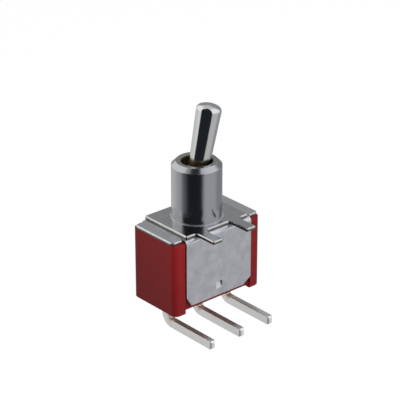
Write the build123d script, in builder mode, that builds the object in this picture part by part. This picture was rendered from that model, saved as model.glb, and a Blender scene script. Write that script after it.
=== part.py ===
from build123d import *
import os
from math import cos, radians, sin

# Miniature toggle switch, single pole, two positions, with right-angle board terminals.
# The bushing axis is Z, the case is long in X and the terminals turn towards -Y.
# Z = 0 is the top face of the bracket, the face that seats behind a panel.

# bracket and frame, folded from sheet
sheet = 0.42
bracket_length = 9.9
bracket_front = 3.85
bracket_back = 4.00
tab_width = 1.45
tab_spacing = 5.35
tab_reach = 6.95
tab_root = 0.55
sheet_corner = 0.20
edge_break = 0.11
frame_top_length = 13.8
frame_top_depth = 7.1
frame_corner = 0.55
flap_width = 10.4
flap_face = 4.15
flap_bottom = -9.32
flap_bend = 0.60
flap_bend_inner = 0.18
flap_relief = 0.22
relief_depth = 0.25
flap_corner_height = 1.25
flap_corner_width = 0.80
detent_width = 0.95
detent_top = -7.45
detent_bottom = -8.40
detent_depth = 0.28

# moulded case
case_length = 13.8
case_depth = 8.0
case_corner = 0.8
case_top = -2 * sheet
case_bottom = -9.85
foot_bottom = -10.30
foot_width = 1.65
recess_floor = flap_face - sheet
mouth_length = 11.9
mouth_depth = 6.2
cavity_length = 11.2
cavity_depth = 5.5
seal_top = -8.6
seal_bottom = -9.55

# bushing
bushing_radius = 3.11
pilot_radius = 3.30
bushing_height = 7.28
bushing_chamfer = 0.55
bore_radius = 1.95
flange_length = 11.8
flange_depth = 6.1
flange_thickness = 1.0

# lever, thrown towards +X
lever_tilt = 13.0
pivot_z = 4.90
ball_radius = 1.98
socket_radius = 2.03
well_radius = 2.36
well_top = 2.6
neck_radius = 1.28
tip_radius = 1.57
dome_radius = 2.8
dome_edge = 0.72
lever_reach = 9.42
skirt_radius = 1.10
skirt_reach = 7.0
skirt_bore = 0.75
pin_radius = 0.50
pin_length = 5.5

# plunger and spring inside the lever
plunger_radius = 0.70
plunger_tip = 0.60
plunger_reach = 9.80
plunger_length = 5.0
wire = 0.20
spring_radius = 0.56
spring_turns = 5

# rocker and contacts
rocker_tilt = 6.5
rocker_z = -5.60
rocker_wing = 8.0
rocker_half = 4.95
rocker_width = 2.3
rocker_sheet = 0.45
rocker_rise = 0.22
saddle_radius = 0.38
groove_radius = 0.42
contact_radius = 0.85
contact_thick = 0.25
contact_top = -5.62

# terminals
pitch = 4.70
blade_thick = 0.76
blade_width = 1.34
leg_top = -12.33
leg_bottom = -13.38
leg_reach = 8.45
bend_outer = 1.70
bend_inner = 0.25
tip_chamfer = 0.20
head_width = 2.1
head_length = 1.7
head_thick = 0.40

lever_dir = (sin(radians(lever_tilt)), 0, cos(radians(lever_tilt)))
lever_side = (cos(radians(lever_tilt)), 0, -sin(radians(lever_tilt)))
lever_section = Plane(origin=(0, 0, pivot_z), x_dir=lever_side, z_dir=(0, -1, 0))
lever_axis = Axis((0, 0, pivot_z), lever_dir)
rocker_side = (cos(radians(rocker_tilt)), 0, sin(radians(rocker_tilt)))
rocker_section = Plane(origin=(0, 0, rocker_z), x_dir=rocker_side, z_dir=(0, -1, 0))


def save(piece, name):
    piece.part.label = name
    export_step(piece.part, "parts/" + name + ".step")


os.makedirs("parts", exist_ok=True)

# Case: one moulding, open at the top, standing on two end feet. Both long faces have a
# shallow recess for the frame's flaps, with a pocket for each flap's detent.
with BuildPart() as case:
    with BuildSketch(Plane.XY.offset(foot_bottom)):
        RectangleRounded(case_length, case_depth, case_corner)
    extrude(amount=case_top - foot_bottom)
    chamfer(case.faces().sort_by(Axis.Z)[0].edges(), 0.12)
    foot_inner = case_length / 2 - foot_width
    with BuildSketch(Plane.XZ) as channel:
        with BuildLine():
            Polyline(
                (-foot_inner, foot_bottom),
                (foot_inner, foot_bottom),
                (foot_inner - 0.1, case_bottom),
                (0.1 - foot_inner, case_bottom),
                close=True,
            )
        make_face()
    extrude(amount=case_depth, both=True, mode=Mode.SUBTRACT)
    with BuildSketch(Plane.XY.offset(case_top)):
        RectangleRounded(mouth_length, mouth_depth, 0.6)
    extrude(amount=-flange_thickness, mode=Mode.SUBTRACT)
    with BuildSketch(Plane.XY.offset(case_top)):
        RectangleRounded(cavity_length, cavity_depth, 0.5)
    extrude(amount=contact_top - contact_thick - head_thick - case_top, mode=Mode.SUBTRACT)
    with BuildSketch(Plane.XY.offset(case_bottom)):
        RectangleRounded(10.2, 5.6, 0.5)
    extrude(amount=seal_top - case_bottom, mode=Mode.SUBTRACT)
    with BuildSketch(Plane.XY.offset(foot_bottom)):
        for side in (-1, 1):
            with Locations((0, side * (recess_floor + 1))):
                Rectangle(flap_width + 0.1, 2)
    extrude(amount=case_top - foot_bottom, mode=Mode.SUBTRACT)
    shoulders = case.edges().filter_by(Axis.X).group_by(Axis.Z)[-1]
    chamfer(shoulders.filter_by(lambda edge: abs(abs(edge.center().Y) - recess_floor) < 0.01), flap_bend_inner)
    for side in (-1, 1):
        with BuildSketch(Plane.XZ.offset(side * recess_floor)):
            with Locations((0, (detent_top + detent_bottom) / 2)):
                Rectangle(detent_width + 0.1, detent_top - detent_bottom + 0.1)
        extrude(amount=-side * (detent_depth + 0.05), mode=Mode.SUBTRACT)
    with BuildSketch(Plane.XY.offset(case_bottom)):
        with GridLocations(pitch, 0, 3, 1):
            Rectangle(blade_thick, blade_width)
    extrude(amount=6, mode=Mode.SUBTRACT)
save(case, "case")

# Frame: one sheet folded over the case. Relief notches free each flap's bend from the full
# top plate, and each flap has a pressed detent wedge, deepest at its top.
with BuildPart() as frame:
    fold_start = frame_top_depth / 2 - relief_depth
    with BuildSketch(Plane.YZ) as fold:
        with BuildLine():
            Polyline(
                (-fold_start, -sheet),
                (-flap_face, -sheet),
                (-flap_face, flap_bottom),
                (-recess_floor, flap_bottom),
                (-recess_floor, case_top),
                (-fold_start, case_top),
                close=True,
            )
        make_face()
        fillet(fold.vertices().sort_by_distance((-flap_face, -sheet))[0], flap_bend - 0.01)
        fillet(fold.vertices().sort_by_distance((-recess_floor, case_top))[0], flap_bend_inner)
    extrude(amount=flap_width / 2, both=True)
    with BuildSketch(Plane.XZ) as flap:
        with Locations((0, flap_bottom / 2)):
            Rectangle(flap_width, -flap_bottom)
        chamfer(flap.vertices().group_by(Axis.Y)[0], flap_corner_height, flap_corner_width)
    extrude(amount=2 * flap_face, mode=Mode.INTERSECT)
    mirror(about=Plane.XZ)
    with BuildSketch(Plane.XY.offset(case_top)):
        RectangleRounded(frame_top_length, frame_top_depth, frame_corner)
        Circle(pilot_radius, mode=Mode.SUBTRACT)
        for side in (-1, 1):
            with Locations((0, side * (fold_start + 0.5))):
                Rectangle(flap_width + 2 * flap_relief, 1, mode=Mode.SUBTRACT)
    extrude(amount=sheet)
    rim = frame.faces().sort_by(Axis.Z)[-1].edges()
    chamfer(rim.filter_by(lambda edge: abs(edge.center().X) > flap_width / 2 + flap_relief + 0.1), edge_break)
    for side in (-1, 1):
        for face, mode in ((flap_face, Mode.SUBTRACT), (recess_floor, Mode.ADD)):
            with BuildSketch(Plane.YZ):
                with BuildLine():
                    Polyline(
                        (side * face, detent_bottom),
                        (side * face, detent_top),
                        (side * (face - detent_depth), detent_top),
                        close=True,
                    )
                make_face()
            extrude(amount=detent_width / 2, both=True, mode=mode)
save(frame, "frame")

# Bracket: flat plate over the frame, with two solder tabs standing out in front.
with BuildPart() as bracket:
    with BuildSketch(Plane.XY.offset(-sheet)) as outline:
        with Locations((0, (bracket_back - bracket_front) / 2)):
            Rectangle(bracket_length, bracket_back + bracket_front)
        with Locations((0, -tab_reach / 2)):
            with GridLocations(tab_spacing, 0, 2, 1):
                Rectangle(tab_width, tab_reach)
        Circle(pilot_radius, mode=Mode.SUBTRACT)
        corners = outline.vertices().filter_by(lambda v: abs(v.X) > bracket_length / 2 - 0.01)
        fillet(corners, sheet_corner)
        roots = outline.vertices().filter_by(lambda v: abs(v.Y + bracket_front) < 0.01 and abs(v.X) < 4)
        fillet(roots, tab_root)
        fillet(outline.vertices().group_by(Axis.Y)[0], sheet_corner)
    extrude(amount=sheet)
    top = bracket.faces().sort_by(Axis.Z)[-1]
    chamfer(top.outer_wire().edges(), edge_break)
    pilot = bracket.faces().sort_by(Axis.Z)[-1].inner_wires()[0]
    chamfer(pilot.edges(), edge_break / 2)
save(bracket, "bracket")

# Bushing: plain nose on a rectangular flange that the frame clamps into the case mouth.
# Inside are the lever's ball socket, two keyways for its pin and a slot for its swing.
with BuildPart() as bushing:
    with BuildSketch(Plane.XY.offset(case_top)):
        RectangleRounded(flange_length, flange_depth, 0.55)
    extrude(amount=-flange_thickness)
    with BuildSketch(Plane.XY.offset(case_top)):
        Circle(pilot_radius)
    extrude(amount=-case_top)
    with BuildSketch(Plane.XY):
        Circle(bushing_radius)
    extrude(amount=bushing_height)
    chamfer(bushing.faces().sort_by(Axis.Z)[-1].edges(), bushing_chamfer)
    rim_z = pivot_z + (socket_radius**2 - bore_radius**2) ** 0.5
    bottom = case_top - flange_thickness
    with BuildSketch(Plane.XZ) as bore:
        with BuildLine():
            Line((0, bottom), (well_radius, bottom))
            Line((well_radius, bottom), (well_radius, well_top))
            Line((well_radius, well_top), (socket_radius, well_top + 0.6))
            Line((socket_radius, well_top + 0.6), (socket_radius, pivot_z))
            RadiusArc((socket_radius, pivot_z), (bore_radius, rim_z), -socket_radius)
            Line((bore_radius, rim_z), (bore_radius, bushing_height - 0.12))
            Line((bore_radius, bushing_height - 0.12), (bore_radius + 0.12, bushing_height))
            Line((bore_radius + 0.12, bushing_height), (0, bushing_height))
            Line((0, bushing_height), (0, bottom))
        make_face()
    revolve(axis=Axis.Z, mode=Mode.SUBTRACT)
    with BuildSketch(Plane.XY.offset(bottom)):
        Rectangle(2 * pin_radius + 0.1, pin_length + 0.1)
    extrude(amount=pivot_z - bottom, mode=Mode.SUBTRACT)
    with BuildSketch(Plane.XZ):
        with Locations((0, pivot_z)):
            Circle(pin_radius + 0.05)
    extrude(amount=pin_length / 2 + 0.05, both=True, mode=Mode.SUBTRACT)
    with BuildSketch(Plane.XY.offset(bottom)):
        SlotOverall(5.8, 2.7)
    extrude(amount=-0.2 - bottom, mode=Mode.SUBTRACT)
save(bushing, "bushing")

# Lever: turned bat with a domed end, a pivot ball and a hollow skirt below it.
dome_edge_z = lever_reach - dome_radius + (dome_radius**2 - tip_radius**2) ** 0.5
with BuildPart() as lever:
    with BuildSketch(lever_section) as bat:
        with BuildLine():
            Line((0, lever_reach), (0, -skirt_reach))
            Line((0, -skirt_reach), (skirt_radius - 0.1, -skirt_reach))
            Line((skirt_radius - 0.1, -skirt_reach), (skirt_radius, 0.1 - skirt_reach))
            Line((skirt_radius, 0.1 - skirt_reach), (skirt_radius, -1.6))
            Line((skirt_radius, -1.6), (neck_radius, 1.6))
            Line((neck_radius, 1.6), (tip_radius, dome_edge_z))
            RadiusArc((tip_radius, dome_edge_z), (0, lever_reach), -dome_radius)
        make_face()
        fillet(bat.vertices().sort_by_distance((tip_radius, dome_edge_z))[0], dome_edge)
        with BuildLine():
            CenterArc((0, 0), ball_radius, -90, 180)
            Line((0, ball_radius), (0, -ball_radius))
        make_face()
    revolve(axis=lever_axis)
    with BuildSketch(lever_section):
        with Locations((skirt_bore / 2, -(skirt_reach + 1.1) / 2)):
            Rectangle(skirt_bore, skirt_reach - 1.1)
    revolve(axis=lever_axis, mode=Mode.SUBTRACT)
    with BuildSketch(lever_section):
        Circle(pin_radius)
    extrude(amount=ball_radius, both=True, mode=Mode.SUBTRACT)
save(lever, "lever")

# Pivot pin: pressed through the ball, its ends turn in the bushing's keyways.
with BuildPart() as pivot_pin:
    with BuildSketch(lever_section):
        Circle(pin_radius)
    extrude(amount=pin_length / 2, both=True)
    chamfer(pivot_pin.edges().filter_by(GeomType.CIRCLE), 0.08)
save(pivot_pin, "pivot_pin")

# Plunger: moulded follower that slides in the skirt and rides on the rocker.
with BuildPart() as plunger:
    top = plunger_length - plunger_reach
    with BuildSketch(lever_section):
        with BuildLine():
            Line((0, top), (plunger_radius, top))
            Line((plunger_radius, top), (plunger_radius, 0.8 - plunger_reach))
            Line((plunger_radius, 0.8 - plunger_reach), (plunger_tip, plunger_tip - plunger_reach))
            RadiusArc((plunger_tip, plunger_tip - plunger_reach), (0, -plunger_reach), plunger_tip)
            Line((0, -plunger_reach), (0, top))
        make_face()
    revolve(axis=lever_axis)
save(plunger, "plunger")

# Spring: compression coil between the blind end of the skirt and the plunger.
spring_top = -1.1 - wire / 2
spring_low = plunger_length - plunger_reach + wire / 2
spring_origin = Vector(0, 0, pivot_z) + Vector(*lever_dir) * spring_low
with BuildPart() as spring:
    with BuildLine() as coil:
        Helix(
            pitch=(spring_top - spring_low) / spring_turns,
            height=spring_top - spring_low,
            radius=spring_radius,
            center=tuple(spring_origin),
            direction=lever_dir,
        )
    with BuildSketch(Plane(coil.line @ 0, z_dir=coil.line % 0)):
        RegularPolygon(wire / 2, 6)
    sweep()
save(spring, "spring")

# Rocker: shallow V strip with a coined groove that rocks on the centre terminal.
with BuildPart() as rocker:
    wing_dir = Vector(cos(radians(rocker_wing)), sin(radians(rocker_wing)))
    wing_run = rocker_half - 0.6
    wing_lift = wing_run * sin(radians(rocker_wing)) / cos(radians(rocker_wing))
    with BuildSketch(rocker_section):
        with BuildLine():
            Polyline(
                (-rocker_half, rocker_rise + wing_lift),
                (-0.6, rocker_rise),
                (0.6, rocker_rise),
                (rocker_half, rocker_rise + wing_lift),
                (rocker_half, rocker_rise + wing_lift + rocker_sheet),
                (0.6, rocker_rise + rocker_sheet),
                (-0.6, rocker_rise + rocker_sheet),
                (-rocker_half, rocker_rise + wing_lift + rocker_sheet),
                close=True,
            )
        make_face()
        Circle(groove_radius, mode=Mode.SUBTRACT)
    extrude(amount=rocker_width / 2, both=True)
    ends = rocker.edges().filter_by(lambda edge: abs(edge.center().X) > 4.7 and edge.length < 0.6)
    fillet(ends, 0.5)
save(rocker, "rocker")

# Moving contacts: one button on the underside of each wing.
for side, name in ((-1, "moving_contact_left"), (1, "moving_contact_right")):
    wing_x = side * pitch
    wing_y = rocker_rise + (pitch - 0.6) * wing_lift / wing_run
    base = rocker_section.from_local_coords(Vector(wing_x, wing_y, 0))
    lean = radians(rocker_tilt + side * rocker_wing)
    with BuildPart() as moving_contact:
        with BuildSketch(Plane(base, x_dir=(0, 1, 0), z_dir=(-sin(lean), 0, cos(lean)))):
            Circle(contact_radius)
        extrude(amount=-contact_thick)
        chamfer(moving_contact.faces().sort_by(Axis.Z)[0].edges(), 0.06)
    save(moving_contact, name)

# Fixed contacts: flat buttons on the heads of the two outer terminals.
for side, name in ((-1, "fixed_contact_left"), (1, "fixed_contact_right")):
    with BuildPart() as fixed_contact:
        with BuildSketch(Plane.XY.offset(contact_top - contact_thick)):
            with Locations((side * pitch, 0)):
                Circle(contact_radius - 0.05)
        extrude(amount=contact_thick)
        chamfer(fixed_contact.faces().sort_by(Axis.Z)[-1].edges(), 0.06)
    save(fixed_contact, name)


def bent_blade(x, top):
    """One L-shaped terminal blade: straight through the case, then towards -Y."""
    with BuildPart() as blade:
        with BuildSketch(Plane.YZ.offset(x - blade_thick / 2)) as outline:
            with Locations((0, (top + leg_bottom) / 2)):
                Rectangle(blade_width, top - leg_bottom)
            with Locations((-leg_reach / 2, (leg_top + leg_bottom) / 2)):
                Rectangle(leg_reach, leg_top - leg_bottom)
            corner = outline.vertices().sort_by_distance((blade_width / 2, leg_bottom))[0]
            fillet(corner, bend_outer)
            elbow = outline.vertices().sort_by_distance((-blade_width / 2, leg_top))[0]
            fillet(elbow, bend_inner)
        extrude(amount=blade_thick)
        tip = blade.faces().sort_by(Axis.Y)[0]
        chamfer(tip.edges(), tip_chamfer)
    return blade


# Outer terminals: the blade ends in a flat head on the case floor.
head_top = contact_top - contact_thick
for side, name in ((-1, "terminal_left"), (1, "terminal_right")):
    blade = bent_blade(side * pitch, head_top - head_thick)
    with BuildPart() as terminal:
        add(blade.part)
        with BuildSketch(Plane.XY.offset(head_top - head_thick)):
            with Locations((side * pitch, 0)):
                RectangleRounded(head_length, head_width, 0.2)
        extrude(amount=head_thick)
    save(terminal, name)

# Centre terminal: the blade ends in a fork whose rounded saddle carries the rocker.
blade = bent_blade(0, head_top - head_thick)
with BuildPart() as terminal_centre:
    add(blade.part)
    with BuildSketch(Plane.YZ.offset(-blade_thick / 2)):
        with Locations((0, (head_top - head_thick - 4.4) / 2)):
            Rectangle(3.7, -4.4 - head_top + head_thick)
        with Locations((0, (rocker_z - 4.4) / 2 + 0.2)):
            Rectangle(rocker_width + 0.2, -4.4 - rocker_z + 0.4, mode=Mode.SUBTRACT)
    extrude(amount=blade_thick)
    with BuildSketch(Plane.XZ):
        with Locations((0, rocker_z)):
            Circle(saddle_radius)
    extrude(amount=rocker_width / 2 + 0.1, both=True)
save(terminal_centre, "terminal_centre")

# Terminal seal: resin poured round the blades in the underside of the case.
with BuildPart() as terminal_seal:
    with BuildSketch(Plane.XY.offset(seal_bottom)):
        RectangleRounded(10.2, 5.6, 0.5)
        with GridLocations(pitch, 0, 3, 1):
            Rectangle(blade_thick, blade_width, mode=Mode.SUBTRACT)
    extrude(amount=seal_top - seal_bottom)
save(terminal_seal, "terminal_seal")
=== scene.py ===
import math

import bmesh
import bpy
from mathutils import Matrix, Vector


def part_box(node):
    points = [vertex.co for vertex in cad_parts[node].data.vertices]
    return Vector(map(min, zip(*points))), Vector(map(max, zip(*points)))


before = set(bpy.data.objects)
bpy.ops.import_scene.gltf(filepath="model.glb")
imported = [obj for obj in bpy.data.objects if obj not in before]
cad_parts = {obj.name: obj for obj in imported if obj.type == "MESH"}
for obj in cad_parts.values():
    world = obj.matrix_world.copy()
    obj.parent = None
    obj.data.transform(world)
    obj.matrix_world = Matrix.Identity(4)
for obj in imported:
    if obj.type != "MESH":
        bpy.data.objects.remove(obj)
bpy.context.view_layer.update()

bl_info = {
    "name": "Miniature toggle switch",
    "version": (1, 0, 0),
    "blender": (4, 5, 0),
    "location": "3D View > Sidebar > Switch",
    "description": "Finishes and studio for a miniature toggle switch",
    "category": "Object",
}

MM = 0.001
WHITE = (1, 1, 1, 1)

# Places on the switch. Z = 0 is the bracket's top face, and the terminals turn towards -Y.
PIVOT = (0, 0, 4.9 * MM)  # middle of the lever's ball
SHEET = 0.42 * MM  # thickness of the frame and the bracket
FLAP_HALF = 5.22 * MM  # just past the sides of the frame's flaps
CROPPED_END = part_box("terminal_left")[0].y  # where the terminal blades were cut off
BEND_CORNER = (0, -0.95 * MM, -12.05 * MM)  # by the inner corner of the terminals' bends

# How far a rounded edge turns before it counts as fully worn and fully carries the painted edge highlight,
# as 1 less the cosine of the angle.
SHEET_TURN = 0.12
MOULD_TURN = 0.3

# The fractured half of a sheared edge, darkened with painted shade: how far its upper line wanders, and how
# far its normal may rise or dip.
FRACTURE_SHADE_WANDER = 0.2 * MM
UPRIGHT = 0.3


def linear(hex_colour):
    """Linear RGBA of an sRGB hex colour."""
    value = hex_colour.lstrip("#")
    channels = [int(value[i:i + 2], 16) / 255 for i in (0, 2, 4)]
    return tuple(c / 12.92 if c <= 0.04045 else ((c + 0.055) / 1.055) ** 2.4 for c in channels) + (1.0,)


def colour(name, description, hex_colour):
    """A colour that the user can change."""
    return bpy.props.FloatVectorProperty(
        name=name, description=description, subtype="COLOR", size=4, min=0, max=1,
        default=linear(hex_colour),
    )


def length(name, description, mm):
    """A length that the user can change, with its default in millimetres."""
    return bpy.props.FloatProperty(
        name=name, description=description, subtype="DISTANCE", unit="LENGTH", min=0, precision=6,
        default=mm * MM,
    )


class SwitchColours(bpy.types.PropertyGroup):
    """Colours of the switch's finishes and of the floor."""

    case: colour("Case", "Red of the moulded case", "#8A1A1E")
    case_deep: colour("Case clouds", "Deeper red in the moulding's flow clouds", "#7E171B")
    # paler red on the rounded edges: partly rubbing wear, partly a painted highlight
    case_edge_and_highlight: colour("Case edges and painted highlight", "Paler red on rubbed edges", "#A8383A")
    sheet: colour("Frame plate", "Nickel on the folded frame", "#BDC0C6")
    sheet_light: colour("Frame blotches", "Lighter nickel in the frame's blotches", "#D2D3D8")
    bracket: colour("Bracket plate", "Nickel on the bracket", "#B7BABC")
    bracket_light: colour("Bracket blotches", "Lighter nickel in the bracket's blotches", "#C6C9CB")
    # a bright line along worn edges: partly burnished metal, partly a painted highlight
    burnish_and_highlight: colour("Burnished edge and painted highlight", "Bare bright line along worn edges", "#D8D9DC")
    # the lower half of cut edges: dull fractured metal, darkened with painted shade
    fracture_and_shade: colour("Torn edge and painted shade", "Dull metal in the lower half of a sheared edge", "#7A756E")
    bushing: colour("Bushing", "Bright nickel on the bushing", "#AFB1B5")
    bore: colour("Bore", "Greasy, unpolished inside of the bushing", "#A09F8C")
    lever: colour("Lever", "Chrome on the lever", "#D2D3D4")
    lever_foot: colour("Lever foot", "Brass and old grease round the lever's ball", "#86705A")
    terminal: colour("Terminals", "Bright tin on the terminals", "#EBEAEA")
    copper: colour("Terminal bends", "Copper alloy showing at the pressed bends", "#D9B386")
    seal: colour("Terminal seal", "Resin under the case", "#8C6450")
    rocker: colour("Rocker", "Copper alloy strip", "#C79A5B")
    silver: colour("Contacts", "Silver of the contact buttons", "#E8E6E0")
    plunger: colour("Plunger", "Natural acetal", "#E9E6DA")
    steel: colour("Steel", "Bare spring and pin steel", "#A8A8AA")
    floor: colour("Floor", "Pale studio floor", "#C4C4C4")


class SwitchSizes(bpy.types.PropertyGroup):
    """Sizes of the finishes' patterns and of the studio."""

    edge_round: length("Edge rounding", "Radius of tumbled sheet edges", 0.05)
    mould_round: length("Mould rounding", "Radius of moulded edges", 0.12)
    flow_cloud: length("Flow clouds", "Size of the clouds in the moulding", 2.5)
    mould_grit: length("Mould texture", "Grit of the spark-eroded mould", 0.10)
    blotch: length("Plate blotches", "Size of the blotches in the nickel", 1.4)
    grain: length("Rolling grain", "Length of the rolling and drawing lines", 1.4)
    wave: length("Mirror waves", "Spacing of the faint waves in polished metal", 1.6)
    dark_bore: length("Dark bore", "Radius inside which the bushing is greasy", 2.12)
    foot_reach: length("Lever foot", "Distance from the pivot to the end of the brass foot", 2.75)
    floor_drop: length("Floor drop", "Depth of the floor below the mounting face", 40)
    dome_radius: length("Dome radius", "Radius of the reflector dome", 400)


def add(tree, kind, values=None, links=None, **settings):
    """One node with its settings, socket values and incoming links."""
    node = tree.nodes.new(kind)
    for key, value in settings.items():
        setattr(node, key, value)
    for key, value in (values or {}).items():
        node.inputs[key].default_value = value
    for key, socket in (links or {}).items():
        tree.links.new(socket, node.inputs[key])
    return node


def new_material(name):
    """An empty node material, and its node tree."""
    material = bpy.data.materials.new(name)
    material.use_nodes = True
    material.node_tree.nodes.clear()
    return material, material.node_tree


def dress(node, material):
    """Gives a carried-over solid its finish."""
    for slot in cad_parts[node].material_slots:
        slot.material = material


# Surface features that several finishes share


def soft_edges(tree, radius, turn):
    """Normal that rounds off sharp edges, and a mask that reaches 1 where it turns that far."""
    edge = add(tree, "ShaderNodeBevel", {"Radius": radius}, samples=6)
    flat = add(tree, "ShaderNodeNewGeometry").outputs["Normal"]
    cosine = add(
        tree, "ShaderNodeVectorMath", links={0: edge.outputs[0], 1: flat}, operation="DOT_PRODUCT"
    )
    mask = add(
        tree, "ShaderNodeMapRange", {"From Min": 1.0, "From Max": 1.0 - turn},
        {"Value": cosine.outputs["Value"]},
    )
    return edge.outputs[0], mask.outputs[0]


def drawn_lines(tree, place, along, sizes):
    """Faint lines from rolling or drawing, narrowed by the factors in along. The real ones are 0.02 mm
    wide, and these are drawn coarser, so that they show."""
    stretch = add(tree, "ShaderNodeMapping", {"Scale": along}, {"Vector": place})
    lines = add(
        tree, "ShaderNodeTexNoise", {"Scale": 1 / sizes.grain, "Detail": 3.0},
        {"Vector": stretch.outputs[0]},
    )
    return lines.outputs["Fac"]


def ragged_distance(tree, place, centre, flatten, noise, wander):
    """Distance to a centre, measured after flattening, that a noise shortens by up to the wander."""
    spot = add(tree, "ShaderNodeVectorMath", {1: flatten}, {0: place}, operation="MULTIPLY")
    away = add(tree, "ShaderNodeVectorMath", {1: centre}, {0: spot.outputs[0]}, operation="DISTANCE")
    ragged = add(
        tree, "ShaderNodeMath", {1: -wander}, {0: noise, 2: away.outputs["Value"]},
        operation="MULTIPLY_ADD",
    )
    return ragged.outputs[0]


def shaded_fracture_mask(tree, place, low, high, outside):
    """Mask of a sheared edge's fractured lower half, which is darkened with painted shade: upright faces
    from low to high, further out in X than outside, with a ragged upper line."""
    spot = add(tree, "ShaderNodeSeparateXYZ", links={0: place})
    normal = add(tree, "ShaderNodeNewGeometry").outputs["Normal"]
    facing = add(tree, "ShaderNodeSeparateXYZ", links={0: normal})
    wander = add(tree, "ShaderNodeTexNoise", {"Scale": 1.6 / MM, "Detail": 3.0}, {"Vector": place})
    level = add(
        tree, "ShaderNodeMath", {1: FRACTURE_SHADE_WANDER}, {0: wander.outputs["Fac"], 2: spot.outputs["Z"]},
        operation="MULTIPLY_ADD",
    )
    aside = add(tree, "ShaderNodeMath", links={0: spot.outputs["X"]}, operation="ABSOLUTE")
    fracture_and_shade = add(tree, "ShaderNodeMath", {1: 0.0, 2: UPRIGHT}, {0: facing.outputs["Z"]}, operation="COMPARE")
    for socket, limit, test in (
        (level.outputs[0], high + FRACTURE_SHADE_WANDER / 2, "LESS_THAN"),
        (spot.outputs["Z"], low, "GREATER_THAN"),
        (aside.outputs[0], outside, "GREATER_THAN"),
    ):
        within = add(tree, "ShaderNodeMath", {1: limit}, {0: socket}, operation=test)
        fracture_and_shade = add(
            tree, "ShaderNodeMath", links={0: fracture_and_shade.outputs[0], 1: within.outputs[0]}, operation="MULTIPLY"
        )
    return fracture_and_shade.outputs[0]


# Materials


def moulded_nylon(colours, sizes):
    """Glass-filled nylon from a spark-eroded mould: an even, nearly matt red, paler on its worn edges, where
    the paler red is also a painted highlight.
    """
    material, tree = new_material("moulded nylon, red")
    place = add(tree, "ShaderNodeTexCoord").outputs["Object"]
    edge, rubbed_and_highlit = soft_edges(tree, sizes.mould_round, MOULD_TURN)
    cloud = add(
        tree, "ShaderNodeTexNoise", {"Scale": 1 / sizes.flow_cloud, "Detail": 3.0}, {"Vector": place}
    )
    red = add(
        tree, "ShaderNodeMix", {"A": colours.case_deep, "B": colours.case},
        {"Factor": cloud.outputs["Fac"]}, data_type="RGBA",
    )
    # the paler red on the edges is partly rubbing wear and partly a painted highlight
    most_rubbed_and_highlit = 0.4
    share = add(tree, "ShaderNodeMath", {1: most_rubbed_and_highlit}, {0: rubbed_and_highlit}, operation="MULTIPLY")
    skin = add(
        tree, "ShaderNodeMix", {"B": colours.case_edge_and_highlight},
        {"Factor": share.outputs[0], "A": red.outputs["Result"]}, data_type="RGBA",
    )
    # the mould's grit is drawn coarser than its real 0.02 mm, so that it shows
    grit = add(
        tree, "ShaderNodeTexNoise", {"Scale": 1 / sizes.mould_grit, "Detail": 2.0}, {"Vector": place}
    )
    bump = add(
        tree, "ShaderNodeBump", {"Strength": 0.3, "Distance": 0.005 * MM},
        {"Height": grit.outputs["Fac"], "Normal": edge},
    )
    shader = add(
        tree, "ShaderNodeBsdfPrincipled", {"Roughness": 0.5, "IOR": 1.53, "Specular IOR Level": 0.17},
        {"Base Color": skin.outputs["Result"], "Normal": bump.outputs[0]},
    )
    add(tree, "ShaderNodeOutputMaterial", links={"Surface": shader.outputs[0]})
    return material


def rolled_sheet(name, tones, colours, sizes, roughness, along, sheared=None):
    """Cold-rolled sheet, nickel plated or unplated: a soft, blotchy mirror with faint rolling lines and
    a burnished line on its edges that is also a painted highlight. Sheared gives (low, high, outside), where
    shaded_fracture_mask finds a cut edge that is fractured and dull, and darkened with painted shade."""
    material, tree = new_material(name)
    place = add(tree, "ShaderNodeTexCoord").outputs["Object"]
    edge, rubbed_and_highlit = soft_edges(tree, sizes.edge_round, SHEET_TURN)
    blotch = add(
        tree, "ShaderNodeTexNoise", {"Scale": 1 / sizes.blotch, "Detail": 5.0, "Roughness": 0.62},
        {"Vector": place},
    )
    patch = add(
        tree, "ShaderNodeMapRange", {"From Min": 0.35, "From Max": 0.65}, {"Value": blotch.outputs["Fac"]}
    )
    plate = add(
        tree, "ShaderNodeMix", {"A": tones[0], "B": tones[1]}, {"Factor": patch.outputs[0]},
        data_type="RGBA",
    )
    # the light line on the edges is partly burnished metal and partly a painted highlight
    skin = add(
        tree, "ShaderNodeMix", {"B": colours.burnish_and_highlight}, {"Factor": rubbed_and_highlit, "A": plate.outputs["Result"]},
        data_type="RGBA",
    )
    dull = add(
        tree, "ShaderNodeMapRange", {"To Min": roughness * 1.25, "To Max": roughness * 0.75},
        {"Value": patch.outputs[0]},
    )
    # each kind of wear adds its own roughness
    worn, ripped = 0.25, 0.3
    dull = add(
        tree, "ShaderNodeMath", {1: worn}, {0: rubbed_and_highlit, 2: dull.outputs[0]}, operation="MULTIPLY_ADD"
    )
    if sheared:
        # the fractured lower half of a cut edge is dull metal, darkened with painted shade
        fracture_and_shade = shaded_fracture_mask(tree, place, *sheared)
        skin = add(
            tree, "ShaderNodeMix", {"B": colours.fracture_and_shade}, {"Factor": fracture_and_shade, "A": skin.outputs["Result"]},
            data_type="RGBA",
        )
        dull = add(
            tree, "ShaderNodeMath", {1: ripped}, {0: fracture_and_shade, 2: dull.outputs[0]}, operation="MULTIPLY_ADD"
        )
    bump = add(
        tree, "ShaderNodeBump", {"Strength": 0.15, "Distance": 0.004 * MM},
        {"Height": drawn_lines(tree, place, along, sizes), "Normal": edge},
    )
    dent = add(
        tree, "ShaderNodeBump", {"Strength": 0.3, "Distance": 0.025 * MM},
        {"Height": blotch.outputs["Fac"], "Normal": bump.outputs[0]},
    )
    shader = add(
        tree, "ShaderNodeBsdfPrincipled", {"Metallic": 1.0},
        {"Base Color": skin.outputs["Result"], "Roughness": dull.outputs[0], "Normal": dent.outputs[0]},
    )
    add(tree, "ShaderNodeOutputMaterial", links={"Surface": shader.outputs[0]})
    return material


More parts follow.
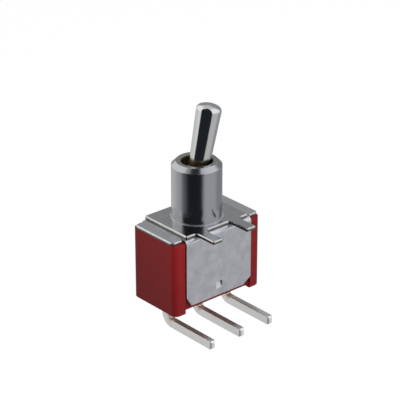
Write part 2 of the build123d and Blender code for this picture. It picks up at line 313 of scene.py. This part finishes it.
def bright_plate(name, base, stain, colours, sizes, roughness, centre, flatten, reach):
    """Polished and plated metal: a clear mirror with faint waves, dull and stained up to a reach from
    one centre, measured after flattening."""
    material, tree = new_material(name)
    place = add(tree, "ShaderNodeTexCoord").outputs["Object"]
    edge, rubbed_and_highlit = soft_edges(tree, sizes.edge_round, SHEET_TURN)
    # polishing round the axis leaves waves that are longer in height than across
    drawn = add(tree, "ShaderNodeMapping", {"Scale": (1, 1, 0.4)}, {"Vector": place})
    wave = add(
        tree, "ShaderNodeTexNoise", {"Scale": 1 / sizes.wave, "Detail": 2.0}, {"Vector": drawn.outputs[0]}
    )
    bump = add(
        tree, "ShaderNodeBump", {"Strength": 0.25, "Distance": 0.06 * MM},
        {"Height": wave.outputs["Fac"], "Normal": edge},
    )
    dull = add(
        tree, "ShaderNodeMapRange", {"To Min": roughness * 0.8, "To Max": roughness * 1.2},
        {"Value": wave.outputs["Fac"]},
    )
    away = ragged_distance(tree, place, centre, flatten, wave.outputs["Fac"], wander=0.5 * MM)
    border = 0.4 * MM
    near = add(
        tree, "ShaderNodeMapRange", {"From Min": reach, "From Max": reach - border}, {"Value": away}
    )
    stained = add(
        tree, "ShaderNodeMix", {"A": base, "B": stain}, {"Factor": near.outputs[0]}, data_type="RGBA"
    )
    # grease and wear each add their own roughness
    greasy, worn = 0.35, 0.3
    rough = add(
        tree, "ShaderNodeMath", {1: greasy}, {0: near.outputs[0], 2: dull.outputs[0]},
        operation="MULTIPLY_ADD",
    )
    # the staked foot on the mounting face: a thin line of scuffed metal without plating, whose light colour
    # is also a painted highlight, like the edges'
    line_half = 0.05 * MM
    height = add(tree, "ShaderNodeSeparateXYZ", links={0: place})
    staked = add(
        tree, "ShaderNodeMath", {1: 0.0, 2: line_half}, {0: height.outputs["Z"]}, operation="COMPARE"
    )
    bare_and_highlit = add(tree, "ShaderNodeMath", links={0: staked.outputs[0], 1: rubbed_and_highlit}, operation="MAXIMUM")
    skin = add(
        tree, "ShaderNodeMix", {"B": colours.burnish_and_highlight},
        {"Factor": bare_and_highlit.outputs[0], "A": stained.outputs["Result"]}, data_type="RGBA",
    )
    scuffed = add(
        tree, "ShaderNodeMath", {1: worn}, {0: bare_and_highlit.outputs[0], 2: rough.outputs[0]},
        operation="MULTIPLY_ADD",
    )
    shader = add(
        tree, "ShaderNodeBsdfPrincipled", {"Metallic": 1.0},
        {"Base Color": skin.outputs["Result"], "Roughness": scuffed.outputs[0], "Normal": bump.outputs[0]},
    )
    add(tree, "ShaderNodeOutputMaterial", links={"Surface": shader.outputs[0]})
    return material


def bare_metal(name, base, sizes, roughness):
    """Ground or drawn metal without plating: an even sheen with fine draw lines along Z."""
    material, tree = new_material(name)
    place = add(tree, "ShaderNodeTexCoord").outputs["Object"]
    lines = drawn_lines(tree, place, (9, 9, 1), sizes)
    dull = add(
        tree, "ShaderNodeMapRange", {"To Min": roughness * 0.7, "To Max": roughness * 1.3},
        {"Value": lines},
    )
    bump = add(tree, "ShaderNodeBump", {"Strength": 0.2, "Distance": 0.004 * MM}, {"Height": lines})
    shader = add(
        tree, "ShaderNodeBsdfPrincipled", {"Base Color": base, "Metallic": 1.0},
        {"Roughness": dull.outputs[0], "Normal": bump.outputs[0]},
    )
    add(tree, "ShaderNodeOutputMaterial", links={"Surface": shader.outputs[0]})
    return material


def tin_plate(colours, sizes):
    """Bright tin over copper alloy: soft drawing lines along each blade, copper showing inside the
    pressed bend, and a duller, paler cropped end."""
    material, tree = new_material("bright tin plate")
    place = add(tree, "ShaderNodeTexCoord").outputs["Object"]
    run = add(tree, "ShaderNodeSeparateXYZ", links={0: place})
    crop = 0.3 * MM
    cropped = add(
        tree, "ShaderNodeMapRange", {"From Min": CROPPED_END + crop, "From Max": CROPPED_END},
        {"Value": run.outputs["Y"]},
    )
    edge, _ = soft_edges(tree, 2 * sizes.edge_round, SHEET_TURN)
    mottle = add(tree, "ShaderNodeTexNoise", {"Scale": 1.1 / MM, "Detail": 4.0}, {"Vector": place})
    away = ragged_distance(
        tree, place, BEND_CORNER, flatten=(0, 1, 1), noise=mottle.outputs["Fac"], wander=1.2 * MM
    )
    pressed = add(
        tree, "ShaderNodeMapRange", {"From Min": 0.25 * MM, "From Max": -0.35 * MM, "To Max": 0.7},
        {"Value": away},
    )
    skin = add(
        tree, "ShaderNodeMix", {"A": colours.terminal, "B": colours.copper},
        {"Factor": pressed.outputs[0]}, data_type="RGBA",
    )
    dull = add(
        tree, "ShaderNodeMapRange", {"To Min": 0.26, "To Max": 0.36}, {"Value": mottle.outputs["Fac"]}
    )
    # the cropped end's extra roughness, and the part of the mirror that full oxide takes away
    snapped, oxidised = 0.3, 0.7
    rough = add(
        tree, "ShaderNodeMath", {1: snapped}, {0: cropped.outputs[0], 2: dull.outputs[0]},
        operation="MULTIPLY_ADD",
    )
    # the cropped end and the pressed bend are dulled by oxide, so less of them answers as a mirror
    oxide = add(
        tree, "ShaderNodeMath", links={0: cropped.outputs[0], 1: pressed.outputs[0]}, operation="MAXIMUM"
    )
    mirror = add(
        tree, "ShaderNodeMath", {1: -oxidised, 2: 1.0}, {0: oxide.outputs[0]}, operation="MULTIPLY_ADD"
    )
    bump = add(
        tree, "ShaderNodeBump", {"Strength": 0.2, "Distance": 0.004 * MM},
        {"Height": drawn_lines(tree, place, (9, 0.6, 9), sizes), "Normal": edge},
    )
    dent = add(
        tree, "ShaderNodeBump", {"Strength": 0.15, "Distance": 0.03 * MM},
        {"Height": mottle.outputs["Fac"], "Normal": bump.outputs[0]},
    )
    shader = add(
        tree, "ShaderNodeBsdfPrincipled",
        links={
            "Base Color": skin.outputs["Result"],
            "Metallic": mirror.outputs[0],
            "Roughness": rough.outputs[0],
            "Normal": dent.outputs[0],
        },
    )
    add(tree, "ShaderNodeOutputMaterial", links={"Surface": shader.outputs[0]})
    return material


def cast_resin(colours):
    """Poured epoxy: dark, glassy and slightly uneven."""
    material, tree = new_material("poured epoxy")
    place = add(tree, "ShaderNodeTexCoord").outputs["Object"]
    swell = add(tree, "ShaderNodeTexNoise", {"Scale": 0.5 / MM, "Detail": 1.0}, {"Vector": place})
    bump = add(
        tree, "ShaderNodeBump", {"Strength": 0.3, "Distance": 0.05 * MM}, {"Height": swell.outputs["Fac"]}
    )
    shader = add(
        tree, "ShaderNodeBsdfPrincipled", {"Base Color": colours.seal, "Roughness": 0.22, "IOR": 1.55},
        {"Normal": bump.outputs[0]},
    )
    add(tree, "ShaderNodeOutputMaterial", links={"Surface": shader.outputs[0]})
    return material


def acetal(colours):
    """Natural acetal: waxy, off-white and a little translucent."""
    material, tree = new_material("natural acetal")
    place = add(tree, "ShaderNodeTexCoord").outputs["Object"]
    grit = add(tree, "ShaderNodeTexNoise", {"Scale": 4 / MM, "Detail": 2.0}, {"Vector": place})
    bump = add(
        tree, "ShaderNodeBump", {"Strength": 0.1, "Distance": 0.01 * MM}, {"Height": grit.outputs["Fac"]}
    )
    shader = add(
        tree, "ShaderNodeBsdfPrincipled",
        {
            "Base Color": colours.plunger,
            "Roughness": 0.38,
            "IOR": 1.48,
            "Subsurface Weight": 0.15,
            "Subsurface Scale": 0.4 * MM,
        },
        {"Normal": bump.outputs[0]},
    )
    add(tree, "ShaderNodeOutputMaterial", links={"Surface": shader.outputs[0]})
    return material


def floor_paper(colours):
    """Seamless pale paper: matt and fibrous, it keeps the soft shadow and looks white from the camera."""
    material, tree = new_material("seamless paper")
    place = add(tree, "ShaderNodeTexCoord").outputs["Object"]
    fibre = add(tree, "ShaderNodeTexNoise", {"Scale": 2 / MM, "Detail": 3.0}, {"Vector": place})
    bump = add(
        tree, "ShaderNodeBump", {"Strength": 0.03, "Distance": 0.02 * MM}, {"Height": fibre.outputs["Fac"]}
    )
    paper = add(
        tree, "ShaderNodeBsdfPrincipled",
        {"Base Color": colours.floor, "Roughness": 0.9, "Specular IOR Level": 0.1},
        {"Normal": bump.outputs[0]},
    )
    seen = add(tree, "ShaderNodeLightPath").outputs["Is Camera Ray"]
    glow = add(tree, "ShaderNodeEmission", {"Color": WHITE, "Strength": 1.1})
    # the rest is the lit paper, so that the floor keeps its shadow
    glow_part = 0.88
    share = add(tree, "ShaderNodeMath", {1: glow_part}, {0: seen}, operation="MULTIPLY")
    mix = add(
        tree, "ShaderNodeMixShader", links={"Fac": share.outputs[0], 1: paper.outputs[0], 2: glow.outputs[0]}
    )
    add(tree, "ShaderNodeOutputMaterial", links={"Surface": mix.outputs[0]})
    return material


# Operators


class SWITCH_OT_case(bpy.types.Operator):
    """Finish the moulded case and the resin seal under it"""

    bl_idname = "switch.case"
    bl_label = "Case"

    def execute(self, context):
        colours, sizes = context.scene.switch_colours, context.scene.switch_sizes
        dress("case", moulded_nylon(colours, sizes))
        dress("terminal_seal", cast_resin(colours))
        return {"FINISHED"}


class SWITCH_OT_sheetwork(bpy.types.Operator):
    """Finish the folded frame and the bracket"""

    bl_idname = "switch.sheetwork"
    bl_label = "Frame and bracket"

    def execute(self, context):
        colours, sizes = context.scene.switch_colours, context.scene.switch_sizes
        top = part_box("frame")[1].z
        satin = rolled_sheet(
            "nickel-plated steel, satin", (colours.sheet, colours.sheet_light), colours, sizes,
            roughness=0.34, along=(1, 9, 9), sheared=(top - SHEET, top - SHEET / 2, FLAP_HALF),
        )
        dress("frame", satin)
        bright = rolled_sheet(
            "nickel-plated steel, bright", (colours.bracket, colours.bracket_light), colours, sizes,
            roughness=0.18, along=(9, 1, 9), sheared=(-SHEET, -SHEET / 2, 0),
        )
        dress("bracket", bright)
        return {"FINISHED"}


class SWITCH_OT_bushing(bpy.types.Operator):
    """Finish the plain bushing"""

    bl_idname = "switch.bushing"
    bl_label = "Bushing"

    def execute(self, context):
        colours, sizes = context.scene.switch_colours, context.scene.switch_sizes
        nickel = bright_plate(
            "bright nickel on brass", colours.bushing, colours.bore, colours, sizes,
            roughness=0.18, centre=(0, 0, 0), flatten=(1, 1, 0), reach=sizes.dark_bore,
        )
        dress("bushing", nickel)
        return {"FINISHED"}


class SWITCH_OT_lever(bpy.types.Operator):
    """Finish the lever and its pivot pin"""

    bl_idname = "switch.lever"
    bl_label = "Lever"

    def execute(self, context):
        colours, sizes = context.scene.switch_colours, context.scene.switch_sizes
        chrome = bright_plate(
            "chrome on brass", colours.lever, colours.lever_foot, colours, sizes,
            roughness=0.06, centre=PIVOT, flatten=(1, 1, 1), reach=sizes.foot_reach,
        )
        dress("lever", chrome)
        dress("pivot_pin", bare_metal("ground steel", colours.steel, sizes, roughness=0.25))
        return {"FINISHED"}


class SWITCH_OT_mechanism(bpy.types.Operator):
    """Finish the pieces inside: plunger, spring, rocker and contacts"""

    bl_idname = "switch.mechanism"
    bl_label = "Mechanism"

    def execute(self, context):
        colours, sizes = context.scene.switch_colours, context.scene.switch_sizes
        dress("plunger", acetal(colours))
        dress("spring", bare_metal("drawn spring wire", colours.steel, sizes, roughness=0.28))
        strip = rolled_sheet(
            "copper alloy strip", (colours.rocker, colours.copper), colours, sizes,
            roughness=0.28, along=(1, 9, 9),
        )
        dress("rocker", strip)
        silver = bare_metal("contact silver", colours.silver, sizes, roughness=0.22)
        for kind in ("moving", "fixed"):
            for side in ("left", "right"):
                dress(f"{kind}_contact_{side}", silver)
        return {"FINISHED"}


class SWITCH_OT_terminals(bpy.types.Operator):
    """Finish the terminal blades"""

    bl_idname = "switch.terminals"
    bl_label = "Terminals"

    def execute(self, context):
        tin = tin_plate(context.scene.switch_colours, context.scene.switch_sizes)
        for side in ("left", "centre", "right"):
            dress(f"terminal_{side}", tin)
        return {"FINISHED"}


class SWITCH_OT_stage(bpy.types.Operator):
    """Build the floor, the reflector dome, the lamps, the world and the camera"""

    bl_idname = "switch.stage"
    bl_label = "Studio"

    def execute(self, context):
        scene = context.scene
        lay_floor(scene, scene.switch_colours, scene.switch_sizes)
        hang_dome(scene, scene.switch_sizes)
        place_lamps(scene)
        fill_world(scene)
        aim_camera(scene)
        scene.view_settings.view_transform = "Standard"
        return {"FINISHED"}


# Studio

# Half of the floor's side, in metres.
FLOOR_HALF = 1.5

# Reflector cards round the switch: the bearing from +X and the elevation of the middle, half of the
# width and of the height, and how far the edge fades, all in degrees, then the level and the tint.
CARDS = (
    ("left softbox", 122, 28, 42, 34, 9, 1.15, "#FFFEFA"),
    ("right softbox", -62, 28, 46, 34, 10, 1.15, "#FAFCFF"),
    ("back wall", 34, 2, 42, 37, 10, 0.34, "#FFFFFF"),
    ("low back wall", 26, -60, 60, 44, 12, 0.40, "#F6F8FF"),
    ("left paper", 100, -24, 26, 14, 14, 0.80, "#FFFEFA"),
    ("table shade", -180, -38, 22, 26, 16, 0.26, "#F2F4FA"),
    ("dark doorway", -150, 18, 50, 39, 6, 0.026, "#E0ECFF"),
    ("black flag", -134, -4, 31, 82, 10, 0.026, "#E0ECFF"),
    ("loose curtain", -153, -4, 26, 82, 14, 0.026, "#E0ECFF"),
)

# Levels of the dome where no card hangs, and how softly one turns into the other, in degrees.
ROOF = 0.72
GROUND = 0.61
HORIZON = 14

# The dome's mesh has a point every 2.5 degrees, which is finer than any card's fade.
DOME_STEPS = 72

# Soft round lamps: place and diameter in millimetres, and power in watts.
LAMPS = (
    ("key lamp", (120, -260, 200), 160, 0.76),
    ("top lamp", (-40, 40, 320), 220, 0.3),
    ("near lamp", (-25, -19, 14), 10, 0.0058),
)
LAMP_TARGET = (0, 0, -2)
FILL = 0.10

# The camera's place, its target and its focal length, in millimetres.
CAMERA_PLACE = (-130.094, -149.597, 94.66)
CAMERA_TARGET = (0.794, 0.313, 1.622)
LENS = 162.43


def mesh_piece(scene, name, bm):
    """A linked object with the mesh that was built."""
    mesh = bpy.data.meshes.new(name)
    bm.to_mesh(mesh)
    bm.free()
    piece = bpy.data.objects.new(name, mesh)
    scene.collection.objects.link(piece)
    return piece


def face_target(holder, target):
    """Turns a lamp or the camera, which look along their own -Z, to a target."""
    holder.rotation_euler = (target - holder.location).to_track_quat("-Z", "Y").to_euler()


def lay_floor(scene, colours, sizes):
    """A pale paper floor that shows in no glossy surface, because the dome stands for it there."""
    bm = bmesh.new()
    bmesh.ops.create_grid(bm, x_segments=1, y_segments=1, size=FLOOR_HALF)
    bmesh.ops.translate(bm, verts=bm.verts, vec=(0, 0, -sizes.floor_drop))
    floor = mesh_piece(scene, "floor", bm)
    floor.data.materials.append(floor_paper(colours))
    floor.visible_glossy = False


def fade(distance, reach, soft):
    """1 inside the reach, 0 past it, with a smooth edge."""
    t = min(1, max(0, (reach + soft - distance) / (2 * soft)))
    return t * t * (3 - 2 * t)


def card_glow(bearing, elevation):
    """Tone of the reflector dome in one direction."""
    rise = fade(-elevation, 0, HORIZON)
    glow = [GROUND + (ROOF - GROUND) * rise] * 3
    for _, middle, height, half_width, half_height, soft, level, tint in CARDS:
        turn = abs((bearing - middle + 180) % 360 - 180)
        cover = fade(turn, half_width, soft) * fade(abs(elevation - height), half_height, soft)
        glow = [g + (level * c - g) * cover for g, c in zip(glow, linear(tint))]
    return (*glow, 1)


def hang_dome(scene, sizes):
    """A dome of reflector cards that shows only in glossy surfaces."""
    material, tree = new_material("reflector cards")
    glow = add(tree, "ShaderNodeAttribute", attribute_name="glow")
    shader = add(tree, "ShaderNodeEmission", links={"Color": glow.outputs["Color"]})
    add(tree, "ShaderNodeOutputMaterial", links={"Surface": shader.outputs[0]})
    bm = bmesh.new()
    bmesh.ops.create_uvsphere(
        bm, u_segments=2 * DOME_STEPS, v_segments=DOME_STEPS, radius=sizes.dome_radius
    )
    paint = bm.verts.layers.float_color.new("glow")
    for vert in bm.verts:
        x, y, z = vert.co.normalized()
        bearing = math.degrees(math.atan2(y, x))
        elevation = math.degrees(math.asin(max(-1, min(1, z))))
        vert[paint] = card_glow(bearing, elevation)
    dome = mesh_piece(scene, "reflector_dome", bm)
    dome.data.materials.append(material)
    dome.visible_camera = False
    dome.visible_diffuse = False
    dome.visible_shadow = False
    dome.visible_transmission = False


def place_lamps(scene):
    """Two large soft lamps and a near one, which light what is matt. Gloss shows the cards instead."""
    for name, place, size, power in LAMPS:
        lamp = bpy.data.lights.new(name, "AREA")
        lamp.shape = "DISK"
        lamp.size = size * MM
        lamp.energy = power
        holder = bpy.data.objects.new(name, lamp)
        holder.location = Vector(place) * MM
        face_target(holder, Vector(LAMP_TARGET) * MM)
        holder.visible_glossy = False
        holder.visible_camera = False
        scene.collection.objects.link(holder)


def fill_world(scene):
    """A faint even fill, which is white to the camera and where gloss or glass looks past the dome."""
    world = bpy.data.worlds.new("studio")
    world.use_nodes = True
    tree = world.node_tree
    tree.nodes.clear()
    path = add(tree, "ShaderNodeLightPath").outputs
    seen = path["Is Camera Ray"]
    for ray in ("Is Glossy Ray", "Is Transmission Ray"):
        seen = add(tree, "ShaderNodeMath", links={0: seen, 1: path[ray]}, operation="MAXIMUM").outputs[0]
    fill = add(tree, "ShaderNodeBackground", {"Color": WHITE, "Strength": FILL})
    back = add(tree, "ShaderNodeBackground", {"Color": WHITE, "Strength": 1.0})
    mix = add(tree, "ShaderNodeMixShader", links={0: seen, 1: fill.outputs[0], 2: back.outputs[0]})
    add(tree, "ShaderNodeOutputWorld", links={"Surface": mix.outputs[0]})
    scene.world = world


def aim_camera(scene):
    """A long lens from the front left and above."""
    camera = bpy.data.cameras.new("camera")
    camera.lens = LENS
    camera.sensor_width = 36
    camera.clip_start = 0.01
    holder = bpy.data.objects.new("camera", camera)
    holder.location = Vector(CAMERA_PLACE) * MM
    face_target(holder, Vector(CAMERA_TARGET) * MM)
    scene.collection.objects.link(holder)
    scene.camera = holder


class SWITCH_PT_panel(bpy.types.Panel):
    """The operators, colours and sizes in the 3D view's sidebar"""

    bl_idname = "SWITCH_PT_panel"
    bl_label = "Toggle switch"
    bl_space_type = "VIEW_3D"
    bl_region_type = "UI"
    bl_category = "Switch"

    def draw(self, context):
        for operator in OPERATORS:
            self.layout.operator(operator.bl_idname)
        for group in (context.scene.switch_colours, context.scene.switch_sizes):
            for key in group.__annotations__:
                self.layout.prop(group, key)


OPERATORS = (
    SWITCH_OT_case,
    SWITCH_OT_sheetwork,
    SWITCH_OT_bushing,
    SWITCH_OT_lever,
    SWITCH_OT_mechanism,
    SWITCH_OT_terminals,
    SWITCH_OT_stage,
)
CLASSES = (SwitchColours, SwitchSizes) + OPERATORS + (SWITCH_PT_panel,)


def register():
    for cls in CLASSES:
        bpy.utils.register_class(cls)
    bpy.types.Scene.switch_colours = bpy.props.PointerProperty(type=SwitchColours)
    bpy.types.Scene.switch_sizes = bpy.props.PointerProperty(type=SwitchSizes)


def unregister():
    del bpy.types.Scene.switch_sizes
    del bpy.types.Scene.switch_colours
    for cls in reversed(CLASSES):
        bpy.utils.unregister_class(cls)


def main():
    """Registers the classes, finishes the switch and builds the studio."""
    register()
    bpy.ops.switch.case()
    bpy.ops.switch.sheetwork()
    bpy.ops.switch.bushing()
    bpy.ops.switch.lever()
    bpy.ops.switch.mechanism()
    bpy.ops.switch.terminals()
    bpy.ops.switch.stage()


if __name__ == "__main__":
    main()
